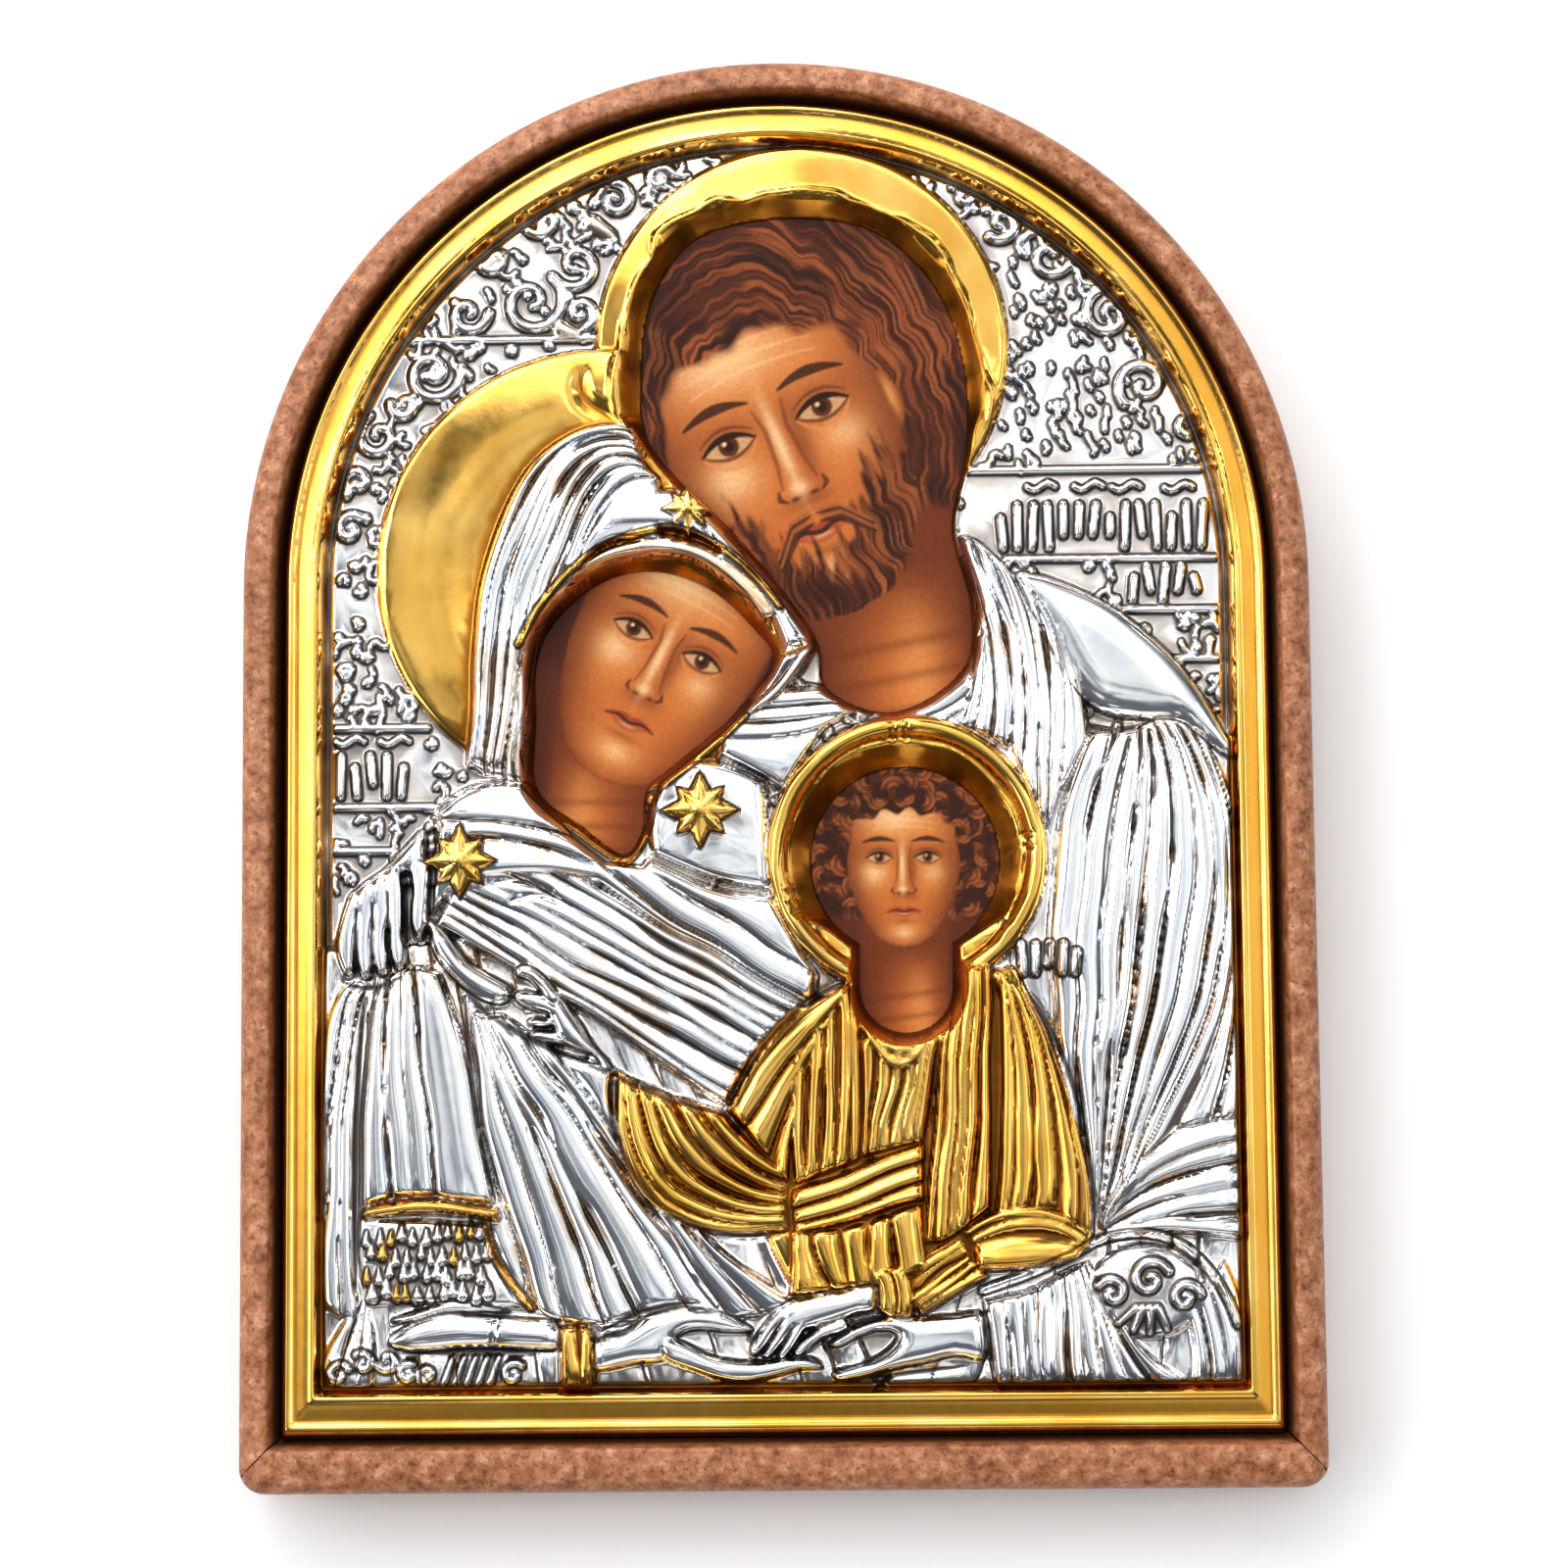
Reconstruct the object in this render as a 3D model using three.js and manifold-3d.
// Arched icon panel: a mitred tray frame, a painted board and a pressed metal cover with three windows.
// Millimetres. It lies on its back: +X to the picture's right, +Y to the picture's top, +Z out of it.
import * as THREE from 'three';
import { mergeVertices } from 'three/addons/utils/BufferGeometryUtils.js';
import Module from 'manifold-3d';

const wasm = await Module();
wasm.setup();

// Outline: straight sides under a half-round arch
const HALF_WIDTH = 45;
const HEIGHT = 120.5;
const ARCH_Y = HEIGHT / 2 - HALF_WIDTH;
const ARCH_STEPS = 30;
const CORNER_STEPS = 3;

// Tray frame: an L section with a ledge behind the board
const SIDE_RAIL = 3.0;
const SILL_RAIL = 4.15;
const RAIL_Z = 11;
const RAIL_ROUND = 1.2;
const CORNER_RADIUS = 2.2;
const INNER_RADIUS = 0.4;
const FOOT_CHAMFER = 0.5;
const LEDGE_WIDTH = 5;
const LEDGE_Z = 3;
const SEAM = 0.3;

// Board and cover, set into the tray
const BOARD_GAP = 0.3;
const COVER_GAP = 0.5;
const COVER_Z = 8;
const FIELD = 0.7;
const BURIED = 0.2;
const CLEAR = 5;
const LIP = 1.7;
const LIP_SLOPE = 1.6;
const WINDOW_STEPS = 32;

// Gilt border of the cover: distance in from its edge, and height over its back
const BORDER = [[0, 0], [0, 1.5], [0.35, 2.2], [0.75, 1.95], [2.1, 1.85], [2.5, 2.4], [2.95, 1.5],
  [3.4, FIELD]];
const FIELD_INSET = 3.3;

// Raised ornament: turned halo edges, stars, ruled lines and leaf scrolls
const HALO_TURN = 0.6;
const HALO_DROP = 0.4;
const HALO_DOME = 0.1;
const HALO_SIDES = 32;
const STAR_POINTS = 8;
const STAR_NOTCH = 0.55;
const STAR_CROWN = 0.15;
const LINE_WIDTH = 0.5;
const SCROLL_HALF = 0.55;
const SCROLL_RISE = 0.6;
const SCROLL_EYE = 0.25;
const SCROLL_STEPS = 7;
const FINGER_SIDES = 6;

// Haloes, the two flat ones and the child's ring
const MAN_HALO = { x: 2.45, y: 35.5, radius: 17.6, height: 1.4 };
const WOMAN_HALO = { x: -14.8, y: 16.6, radius: 19, height: 1.5 };
const CHILD_HALO = { x: 10.85, y: -7.8, radius: 10.75, tube: 1.1, height: 1.65 };

// Windows: the man's and the woman's as closed splines, the child's as a round head over a straight neck
const MAN_WINDOW = [[-11.2, 33], [-10.3, 40], [-6.3, 45.4], [1.5, 47], [9, 45.6], [14.2, 40.2], [16.3, 33],
  [16.2, 26], [15, 20], [16.5, 13.5], [15.8, 8], [10, 4.4], [4.4, 6.4], [3.3, 11], [-2.5, 18.8], [-10.2, 27]];
const WOMAN_WINDOW = [[-20.3, 4], [-20.2, 9], [-18.4, 12.7], [-14.5, 15.8], [-10, 16.6], [-5.5, 15],
  [-2, 11.8], [-0.3, 8.8], [-4, 4], [-8.8, 0], [-11, -2], [-11.4, -5.4], [-13, -7.4], [-16.4, -5],
  [-20.2, -1.8]];
const CHILD_WINDOW = { x: 10.7, y: -8.2, radius: 7.9, neck: 3.9, foot: -22.6 };

// Loops of the arched outline, run round it counter-clockwise

function archLoop(inset, radius, extraSill = 0) {
  const half = HALF_WIDTH - inset;
  const bottom = -HEIGHT / 2 + inset + extraSill;
  const points = [];
  const arc = (x, y, r, from, to, steps) => {
    for (let i = 0; i <= steps; i += 1) {
      const angle = from + (to - from) * i / steps;
      points.push(new THREE.Vector2(x + r * Math.cos(angle), y + r * Math.sin(angle)));
    }
  };
  arc(half - radius, bottom + radius, radius, -Math.PI / 2, 0, CORNER_STEPS);
  arc(0, ARCH_Y, half, 0, Math.PI, ARCH_STEPS);
  arc(radius - half, bottom + radius, radius, Math.PI, Math.PI * 1.5, CORNER_STEPS);
  return points;
}

function insideLoop(inset) {
  return archLoop(inset, INNER_RADIUS, SILL_RAIL - SIDE_RAIL);
}

// A skin over loops of equal length: a closed tube of loops, or a stack with a cap at each end
function skin(loops, closed) {
  const count = loops[0].points.length;
  const positions = [];
  const index = [];
  for (const { points, z } of loops) {
    for (const p of points) positions.push(p.x, p.y, z);
  }
  const bands = closed ? loops.length : loops.length - 1;
  for (let k = 0; k < bands; k += 1) {
    const low = k * count;
    const high = ((k + 1) % loops.length) * count;
    for (let i = 0; i < count; i += 1) {
      const j = (i + 1) % count;
      index.push(low + i, low + j, high + j, low + i, high + j, high + i);
    }
  }
  if (!closed) {
    const top = (loops.length - 1) * count;
    for (const [a, b, c] of THREE.ShapeUtils.triangulateShape(loops[0].points, [])) index.push(c, b, a);
    for (const [a, b, c] of THREE.ShapeUtils.triangulateShape(loops.at(-1).points, [])) {
      index.push(top + a, top + b, top + c);
    }
  }
  return geometryOf(positions, index);
}

function geometryOf(positions, index) {
  const geometry = new THREE.BufferGeometry();
  geometry.setAttribute('position', new THREE.Float32BufferAttribute(positions, 3));
  geometry.setIndex(index);
  return geometry;
}

// Solids and meshes

function solid(geometry) {
  geometry.deleteAttribute('normal');
  geometry.deleteAttribute('uv');
  const merged = mergeVertices(geometry, 1e-4);
  const vertProperties = new Float32Array(merged.getAttribute('position').array);
  const triVerts = new Uint32Array(merged.getIndex().array);
  return new wasm.Manifold(new wasm.Mesh({ numProp: 3, vertProperties, triVerts }));
}

function join(solids) {
  return solids.reduce((sum, next) => sum.add(next));
}

function node(name, body, colour, roughness, metalness) {
  const { vertProperties, triVerts } = body.getMesh();
  const geometry = geometryOf(vertProperties, Array.from(triVerts));
  geometry.computeVertexNormals();
  const material = new THREE.MeshStandardMaterial({ color: colour, roughness, metalness });
  const mesh = new THREE.Mesh(geometry, material);
  mesh.name = name;
  return mesh;
}

function prism(points, low, high) {
  return solid(skin([{ points, z: low }, { points, z: high }], false));
}

// Tray frame, mitred at the two lower corners

function frameRing() {
  const extra = SILL_RAIL - SIDE_RAIL;
  const ledge = SIDE_RAIL + LEDGE_WIDTH;
  const loop = (inset, z, extraSill = 0) => {
    const radius = Math.max(CORNER_RADIUS - inset, INNER_RADIUS);
    return { points: archLoop(inset, radius, extraSill), z };
  };
  const loops = [loop(FOOT_CHAMFER, 0), loop(0, FOOT_CHAMFER), loop(0, RAIL_Z - RAIL_ROUND)];
  for (const turn of [Math.PI / 4, Math.PI / 2]) {
    const inset = RAIL_ROUND * (1 - Math.cos(turn));
    loops.push(loop(inset, RAIL_Z - RAIL_ROUND * (1 - Math.sin(turn))));
  }
  loops.push(loop(SIDE_RAIL - INNER_RADIUS, RAIL_Z, extra), loop(SIDE_RAIL, RAIL_Z - INNER_RADIUS, extra));
  loops.push(loop(SIDE_RAIL, LEDGE_Z, extra), loop(ledge, LEDGE_Z, extra), loop(ledge, 0, extra));
  return solid(skin(loops, true));
}

// The mitre planes meet over the sill, at the apex of this triangle
function mitreWedge(grow) {
  const apex = -HEIGHT / 2 + SILL_RAIL + HALF_WIDTH - SIDE_RAIL + grow * Math.SQRT2;
  const reach = HEIGHT;
  const corners = [[0, apex], [-reach, apex - reach], [reach, apex - reach]];
  return prism(corners.map(([x, y]) => new THREE.Vector2(x, y)), -CLEAR, RAIL_Z + CLEAR);
}

// Cover: forms raised in the sheet, all standing on its back

// A piece of cloth between two guide curves, with folds that run along them
function cloth({ from, to, folds, level, rise, steps = 3 }) {
  const curve = (guide) => new THREE.QuadraticBezierCurve(...guide.map(([x, y]) => new THREE.Vector2(x, y)));
  const [left, right] = [curve(from), curve(to)];
  const columns = Math.max(2 * folds, 4);
  const across = columns + 1;
  const positions = [];
  const foldHeight = (s) => {
    const phase = folds * s;
    return rise * Math.sin(Math.PI * (phase - Math.floor(phase))) ** 0.8;
  };
  for (const top of [true, false]) {
    for (let j = 0; j <= steps; j += 1) {
      const t = j / steps;
      const [a, b] = [left.getPoint(t), right.getPoint(t)];
      for (let i = 0; i < across; i += 1) {
        const s = i / columns;
        const rim = i === 0 || i === columns || j === 0 || j === steps;
        const height = rim ? level - rise / 2 : level + foldHeight(s);
        positions.push(a.x + (b.x - a.x) * s, a.y + (b.y - a.y) * s, COVER_Z + (top ? height : BURIED));
      }
    }
  }
  const turn = left.getPoint(1).sub(left.getPoint(0)).cross(right.getPoint(0.5).sub(left.getPoint(0.5)));
  return solid(gridBlock(positions, columns, steps, turn < 0));
}

// A closed block from a top grid of points and the same grid below it
function gridBlock(positions, columns, steps, turnsRight) {
  const across = columns + 1;
  const below = across * (steps + 1);
  const index = [];
  const face = (a, b, c) => (turnsRight ? index.push(a, b, c) : index.push(a, c, b));
  const wall = (a, b) => {
    face(a, a + below, b + below);
    face(a, b + below, b);
  };
  for (let j = 0; j < steps; j += 1) {
    for (let i = 0; i < columns; i += 1) {
      const p = j * across + i;
      const [q, r, u] = [p + 1, p + across, p + across + 1];
      face(p, q, u);
      face(p, u, r);
      face(below + p, below + u, below + q);
      face(below + p, below + r, below + u);
    }
  }
  for (let i = 0; i < columns; i += 1) {
    wall(i, i + 1);
    wall(steps * across + i + 1, steps * across + i);
  }
  for (let j = 0; j < steps; j += 1) {
    wall((j + 1) * across, j * across);
    wall(j * across + columns, (j + 1) * across + columns);
  }
  return geometryOf(positions, index);
}

// A long egg from one point to another, for palms, fingers and rolls
function egg([x0, y0], [x1, y1], radius, height, sides = 8) {
  const geometry = new THREE.SphereGeometry(1, sides, sides - 2);
  const length = Math.hypot(x1 - x0, y1 - y0);
  geometry.scale((length + radius) / 2, radius, height - BURIED);
  geometry.rotateZ(Math.atan2(y1 - y0, x1 - x0));
  geometry.translate((x0 + x1) / 2, (y0 + y1) / 2, COVER_Z + BURIED);
  return solid(geometry);
}

function between([x0, y0], [x1, y1], share) {
  return [x0 + (x1 - x0) * share, y0 + (y1 - y0) * share];
}

// Fingers are shared out between the first and the last knuckle, and the same for their tips
function hand({ palm, width, knuckles, tips, fingers, finger, thumb, height }) {
  const parts = [egg(palm[0], palm[1], width, height)];
  for (let i = 0; i < fingers; i += 1) {
    const share = fingers > 1 ? i / (fingers - 1) : 0;
    const [knuckle, tip] = [between(...knuckles, share), between(...tips, share)];
    parts.push(egg(knuckle, tip, finger, height - finger / 3, FINGER_SIDES));
  }
  if (thumb) parts.push(egg(thumb[0], thumb[1], finger, height, FINGER_SIDES));
  return parts;
}

// A flat halo with a softly turned edge
function flatHalo({ x, y, radius, height }) {
  const turned = radius - HALO_TURN;
  const profile = [[0, BURIED], [radius, BURIED], [radius, height - HALO_DROP], [turned, height]];
  profile.push([0, height + HALO_DOME]);
  const geometry = new THREE.LatheGeometry(profile.map(([r, z]) => new THREE.Vector2(r, z)), HALO_SIDES);
  geometry.rotateX(Math.PI / 2);
  geometry.translate(x, y, COVER_Z);
  return solid(geometry);
}

function ringHalo({ x, y, radius, tube, height }) {
  const geometry = new THREE.TorusGeometry(radius, tube, 8, HALO_SIDES);
  geometry.translate(x, y, COVER_Z + height);
  const foot = new THREE.CylinderGeometry(radius, radius, height - BURIED, HALO_SIDES);
  foot.rotateX(Math.PI / 2);
  foot.translate(x, y, COVER_Z + (height + BURIED) / 2);
  return solid(geometry).add(solid(foot));
}

// A pointed star rising to its middle
function star([x, y], radius, height) {
  const points = [];
  for (let i = 0; i < 2 * STAR_POINTS; i += 1) {
    const angle = Math.PI * i / STAR_POINTS;
    const reach = i % 2 ? radius * STAR_NOTCH : radius;
    points.push(new THREE.Vector2(reach * Math.cos(angle), reach * Math.sin(angle)));
  }
  const crown = points.map((p) => p.clone().multiplyScalar(STAR_CROWN));
  const loops = [{ points, z: BURIED }, { points, z: height - HALO_DROP }, { points: crown, z: height }];
  const geometry = skin(loops, false);
  geometry.translate(x, y, COVER_Z);
  return solid(geometry);
}

// A straight raised line on the ground of the sheet
function groundLine(x0, x1, y) {
  const geometry = new THREE.BoxGeometry(x1 - x0, LINE_WIDTH, 2 * LINE_WIDTH);
  geometry.translate((x0 + x1) / 2, y, COVER_Z + FIELD);
  return solid(geometry);
}

// A spiral scroll of the ground's leaf ornament
function scroll([x, y], radius, start, turns) {
  const positions = [];
  for (const top of [true, false]) {
    for (let j = 0; j <= SCROLL_STEPS; j += 1) {
      const share = j / SCROLL_STEPS;
      const angle = start + turns * 2 * Math.PI * share;
      const reach = radius * (1 - (1 - SCROLL_EYE) * share);
      for (const side of [-1, 0, 1]) {
        const r = reach + side * SCROLL_HALF;
        const crest = side === 0 ? FIELD + SCROLL_RISE : FIELD - BURIED / 2;
        positions.push(x + r * Math.cos(angle), y + r * Math.sin(angle), COVER_Z + (top ? crest : BURIED));
      }
    }
  }
  return solid(gridBlock(positions, 2, SCROLL_STEPS, turns > 0));
}

const groundForms = () => [
  flatHalo(MAN_HALO),
  flatHalo(WOMAN_HALO),
  groundLine(16, 38, 24.8),
  groundLine(19.5, 38, 17.2),
  groundLine(29, 38, 12.8),
  groundLine(-38.2, -29.4, 3.4),
  groundLine(-38.2, -29, -3.3),
  groundLine(-30, -14.8, 36.6),
  scroll([-20.5, 40.2], 2.6, 2.4, 1.1),
  scroll([-16.6, 42.4], 2.2, 0.4, -1),
  scroll([-19.4, 47.2], 2.2, 3.6, 1),
  scroll([-28.8, 33.8], 2.4, 0.8, 1.1),
  scroll([-33.6, 28.4], 1.9, 2, -1),
  scroll([23.6, 43.4], 2.6, 2.6, 1.1),
  scroll([29, 38], 2.3, 0.4, -1),
  scroll([31, 30.6], 2.2, 1.4, 1),
];

const manForms = () => [
  cloth({ from: [[20.5, 15.4], [31, 13.6], [38.2, 0.5]], to: [[20, 12], [25, 5], [31, 4.2]],
    folds: 1, level: 1.7, rise: 0.6, steps: 4 }),
  cloth({ from: [[15, 20.3], [16.9, 13], [17, 3.5]], to: [[20.3, 15.8], [24.8, 8], [24.2, -3]],
    folds: 5, level: 1.7, rise: 0.5, steps: 4 }),
  cloth({ from: [[30.6, 4.8], [26, 1.5], [22.6, -7]], to: [[31.8, 4.8], [36.5, 3], [38.2, -9]],
    folds: 6, level: 1.8, rise: 0.5, steps: 4 }),
  cloth({ from: [[22.8, -3], [24.6, -20], [25.4, -39]], to: [[38, -4], [33.5, -20], [26.8, -39.6]],
    folds: 5, level: 1.8, rise: 0.5 }),
  cloth({ from: [[38, -5], [32, -21], [27.4, -37]], to: [[38.4, -14], [38, -22], [37.8, -33]],
    folds: 3, level: 1.7, rise: 0.5 }),
  cloth({ from: [[26.3, -39.2], [31, -33], [38, -29.3]], to: [[26.3, -40.2], [32, -39.3], [38, -40.6]],
    folds: 5, level: 2, rise: 0.5, steps: 4 }),
  cloth({ from: [[16.8, -45.4], [16.4, -48.5], [17.2, -52.4]], to: [[25, -40.8], [25.3, -46], [30.5, -52.4]],
    folds: 5, level: 2, rise: 0.5 }),
  egg([29.4, -45.6], [32.8, -46.6], 6, 2.9),
  cloth({ from: [[-4.2, 5.4], [3, 7.4], [9.5, 5]], to: [[-3.6, 0.8], [1, 2.6], [5.6, 2.2]],
    folds: 3, level: 1.6, rise: 0.4 }),
  cloth({ from: [[8.6, 4.6], [13, 3.6], [17.2, 9.5]], to: [[9, 2.6], [14.5, 2], [18.4, 3.4]],
    folds: 3, level: 1.6, rise: 0.4 }),
];

const womanForms = () => [
  cloth({ from: [[-11.2, 29.8], [-27.6, 30.8], [-25.9, 0]], to: [[-9.8, 24.6], [-22, 21.5], [-21.6, -1.2]],
    folds: 5, level: 2, rise: 0.5, steps: 6 }),
  cloth({ from: [[-21.9, -1.2], [-22.6, 22], [-9.6, 25]], to: [[-19.6, -1.8], [-20, 15.4], [-9.4, 15.6]],
    folds: 1, level: 2.2, rise: 0.4, steps: 5 }),
  cloth({ from: [[-10, 25.4], [-2.6, 21], [3.8, 11]], to: [[-10, 15.6], [-2, 14], [-0.6, 8]],
    folds: 1, level: 2.2, rise: 0.4, steps: 4 }),
  cloth({ from: [[3.8, 11.2], [3.6, 8], [4, 5.8]], to: [[-0.6, 8.6], [-2, 6], [-5, 2.6]],
    folds: 2, level: 2, rise: 0.4 }),
  cloth({ from: [[-29.6, -4.2], [-26, 1.4], [-19.8, -1]], to: [[-28.8, -9.5], [-22, -6], [-12.4, -9]],
    folds: 1, level: 2.2, rise: 0.5, steps: 4 }),
  cloth({ from: [[-21, -6.2], [-11, -8], [3.6, -19.2]], to: [[-29.4, -12], [-18, -18], [-4, -29.2]],
    folds: 7, level: 2.1, rise: 0.5 }),
  cloth({ from: [[-11.6, -0.8], [-6, 3], [-0.4, -3.4]], to: [[-12, -8], [-6, -9.6], [1.4, -15]],
    folds: 1, level: 2, rise: 0.3 }),
  cloth({ from: [[-36.6, -17.4], [-38, -30], [-38.4, -52.4]],
    to: [[-34.4, -17.6], [-35.2, -30], [-35.2, -46]],
    folds: 2, level: 1.5, rise: 0.5 }),
  cloth({ from: [[-35.2, -17], [-35.6, -28], [-35.4, -37.2]], to: [[-27, -17], [-25.2, -27], [-23.6, -37.4]],
    folds: 5, level: 1.9, rise: 0.5 }),
  cloth({ from: [[-27, -18.4], [-25.2, -32], [-20.8, -47]], to: [[-16.4, -23], [-10, -36], [1, -44.8]],
    folds: 7, level: 1.7, rise: 0.5 }),
  cloth({ from: [[-35.8, -38.6], [-30, -36.8], [-23, -39]],
    to: [[-35.4, -36.8], [-29.6, -34.8], [-23.2, -36.8]],
    folds: 1, level: 2.2, rise: 0.8, steps: 4 }),
  cloth({ from: [[-35.4, -38], [-35.6, -42], [-35, -45.6]], to: [[-23.4, -38], [-22.4, -42], [-19.8, -45.8]],
    folds: 4, level: 1.9, rise: 0.4 }),
  cloth({ from: [[-34.6, -46], [-26, -43.2], [-18, -45]], to: [[-34, -49.6], [-26, -51], [-18, -52.4]],
    folds: 1, level: 2.1, rise: 0.9, steps: 4 }),
  cloth({ from: [[-38.2, -47], [-38.2, -49], [-38.2, -52.4]], to: [[-24, -49.4], [-24, -50.5], [-24, -52.4]],
    folds: 4, level: 1.5, rise: 0.5 }),
  cloth({ from: [[-18.7, -45.8], [-19, -49], [-18.7, -52.4]],
    to: [[-15.3, -46.2], [-15.2, -49], [-15.5, -52.4]],
    folds: 2, level: 2.4, rise: 0.6 }),
  star([-7, 22.6], 2.4, 3.3),
  star([-26.5, -8], 3.1, 3.3),
  star([-6.4, -3.9], 3.2, 2.9),
];

const childForms = () => [
  ringHalo(CHILD_HALO),
  cloth({ from: [[0.6, -21], [-2.6, -24.6], [-4.6, -29]], to: [[2.2, -21], [1, -27], [0.8, -32]],
    folds: 1, level: 2.3, rise: 0.5 }),
  cloth({ from: [[1.6, -20.6], [-1, -26], [0.4, -36]], to: [[6.8, -17.8], [6.9, -26], [5.6, -34.6]],
    folds: 4, level: 2.5, rise: 0.5 }),
  cloth({ from: [[6, -20], [6.2, -28], [5.2, -34.4]], to: [[14.2, -20], [12.9, -27], [12.2, -32.4]],
    folds: 4, level: 2.4, rise: 0.4 }),
  cloth({ from: [[6, -19.6], [10.4, -30], [14.8, -19.6]], to: [[7, -18], [10.4, -25.6], [13.8, -18]],
    folds: 1, level: 2.6, rise: 0.4, steps: 6 }),
  cloth({ from: [[14.2, -17], [12.8, -27], [11.8, -39.8]], to: [[18.6, -15.8], [18.6, -28], [17.2, -37.8]],
    folds: 4, level: 2.7, rise: 0.5 }),
  cloth({ from: [[18, -16], [18.2, -28], [17, -37]], to: [[19.6, -17.6], [25.4, -24], [25.8, -40]],
    folds: 4, level: 2.5, rise: 0.5, steps: 4 }),
  cloth({ from: [[12.4, -30.8], [7, -32.8], [0.8, -35]], to: [[12.2, -36.4], [7, -37.6], [1.4, -39.1]],
    folds: 2, level: 2.8, rise: 0.6 }),
  cloth({ from: [[0.9, -38.2], [1, -41], [0.9, -44.2]], to: [[12.2, -36.2], [10.8, -40], [8.6, -44.6]],
    folds: 4, level: 2.4, rise: 0.5 }),
  cloth({ from: [[-13.6, -24.2], [-14, -44.4], [1, -38.6]], to: [[-4.4, -29], [-4.4, -34], [0.8, -32.8]],
    folds: 5, level: 2.5, rise: 0.6, steps: 6 }),
  cloth({ from: [[25.6, -37.6], [19, -35.8], [9, -42.2]], to: [[25.4, -42], [20, -43.6], [13.6, -45.8]],
    folds: 3, level: 2.8, rise: 0.5, steps: 4 }),
  egg([9.4, -43.2], [9.2, -44.8], 1.5, 3.4),
];

const handForms = () => [
  ...hand({ palm: [[-30.6, -5.4], [-34.6, -10.8]], width: 2.6, knuckles: [[-35.4, -10.8], [-32.2, -11.2]],
    tips: [[-36.5, -17], [-31.9, -16.8]], fingers: 4, finger: 0.8,
    thumb: [[-30.4, -7], [-30, -13.2]], height: 3 }),
  ...hand({ palm: [[-15.4, -23.8], [-20.6, -19.8]], width: 2.2, knuckles: [[-21, -20], [-19.4, -18.4]],
    tips: [[-29.4, -14], [-28.2, -12.4]], fingers: 2, finger: 1,
    thumb: [[-21.6, -18], [-19, -19.2]], height: 3.1 }),
  ...hand({ palm: [[-15, -48.8], [-8, -46.8]], width: 2.1, knuckles: [[-8, -47.4], [-9, -49.4]],
    tips: [[0.6, -50.8], [-1.6, -52]], fingers: 3, finger: 0.8, thumb: [[-8, -46], [-2.6, -48]], height: 3 }),
  ...hand({ palm: [[8, -45], [1.6, -46.2]], width: 1.7, knuckles: [[0.4, -45.4], [3, -47.4]],
    tips: [[-3, -49], [-0.4, -50.4]], fingers: 4, finger: 0.6, height: 3.3 }),
  ...hand({ palm: [[17, -47.8], [9.4, -47.8]], width: 2.2, knuckles: [[9.6, -49.2], [10.4, -50.6]],
    tips: [[1.4, -51], [2.6, -52]], fingers: 2, finger: 0.8,
    thumb: [[10, -46.2], [4.2, -48.4]], height: 3.2 }),
];

// Windows, each with a lip that slopes from the figures down to the board

function splineLoop(points) {
  const curve = new THREE.CatmullRomCurve3(points.map(([x, y]) => new THREE.Vector3(x, y, 0)), true);
  const spaced = curve.getSpacedPoints(WINDOW_STEPS).slice(0, WINDOW_STEPS);
  const loop = spaced.map((p) => new THREE.Vector2(p.x, p.y));
  return THREE.ShapeUtils.isClockWise(loop) ? loop.reverse() : loop;
}

function headAndNeckLoop({ x, y, radius, neck, foot }) {
  const shape = new THREE.Shape();
  const meet = Math.acos(neck / radius);
  shape.absarc(x, y, radius, -meet, Math.PI + meet, false);
  shape.absarc(x, foot + neck, neck, Math.PI, Math.PI * 2, false);
  shape.closePath();
  return shape.getSpacedPoints(WINDOW_STEPS).slice(0, WINDOW_STEPS);
}

function grown(loop, distance) {
  return loop.map((p, i) => {
    const along = loop[(i + 1) % loop.length].clone().sub(loop.at(i - 1)).normalize();
    return new THREE.Vector2(p.x + along.y * distance, p.y - along.x * distance);
  });
}

function windowCut(loop) {
  const floor = COVER_Z + FIELD / 2;
  const loops = [{ points: loop, z: COVER_Z - CLEAR }, { points: loop, z: floor }];
  loops.push({ points: grown(loop, LIP), z: floor + LIP * LIP_SLOPE });
  return solid(skin(loops, false));
}

function coverBody() {
  const edge = SIDE_RAIL + COVER_GAP;
  const rims = BORDER.map(([d, z]) => ({ points: insideLoop(edge + d), z: COVER_Z + z }));
  const sheet = solid(skin(rims, false));
  const field = prism(insideLoop(edge + FIELD_INSET), COVER_Z, COVER_Z + CLEAR);
  const figures = join([...groundForms(), ...manForms(), ...womanForms(), ...childForms(), ...handForms()]);
  const windows = [splineLoop(MAN_WINDOW), splineLoop(WOMAN_WINDOW), headAndNeckLoop(CHILD_WINDOW)];
  return windows.reduce((body, loop) => body.subtract(windowCut(loop)), sheet.add(figures.intersect(field)));
}

const ring = frameRing();
const panel = new THREE.Group();
panel.add(
  node('frame_arch', ring.subtract(mitreWedge(SEAM)), 0x8a5540, 0.45, 0),
  node('frame_sill', ring.intersect(mitreWedge(0)), 0x8a5540, 0.45, 0),
  node('painted_board', prism(insideLoop(SIDE_RAIL + BOARD_GAP), LEDGE_Z, COVER_Z), 0x5a3020, 0.6, 0),
  node('metal_cover', coverBody(), 0xd8dade, 0.2, 1),
);

export default panel;
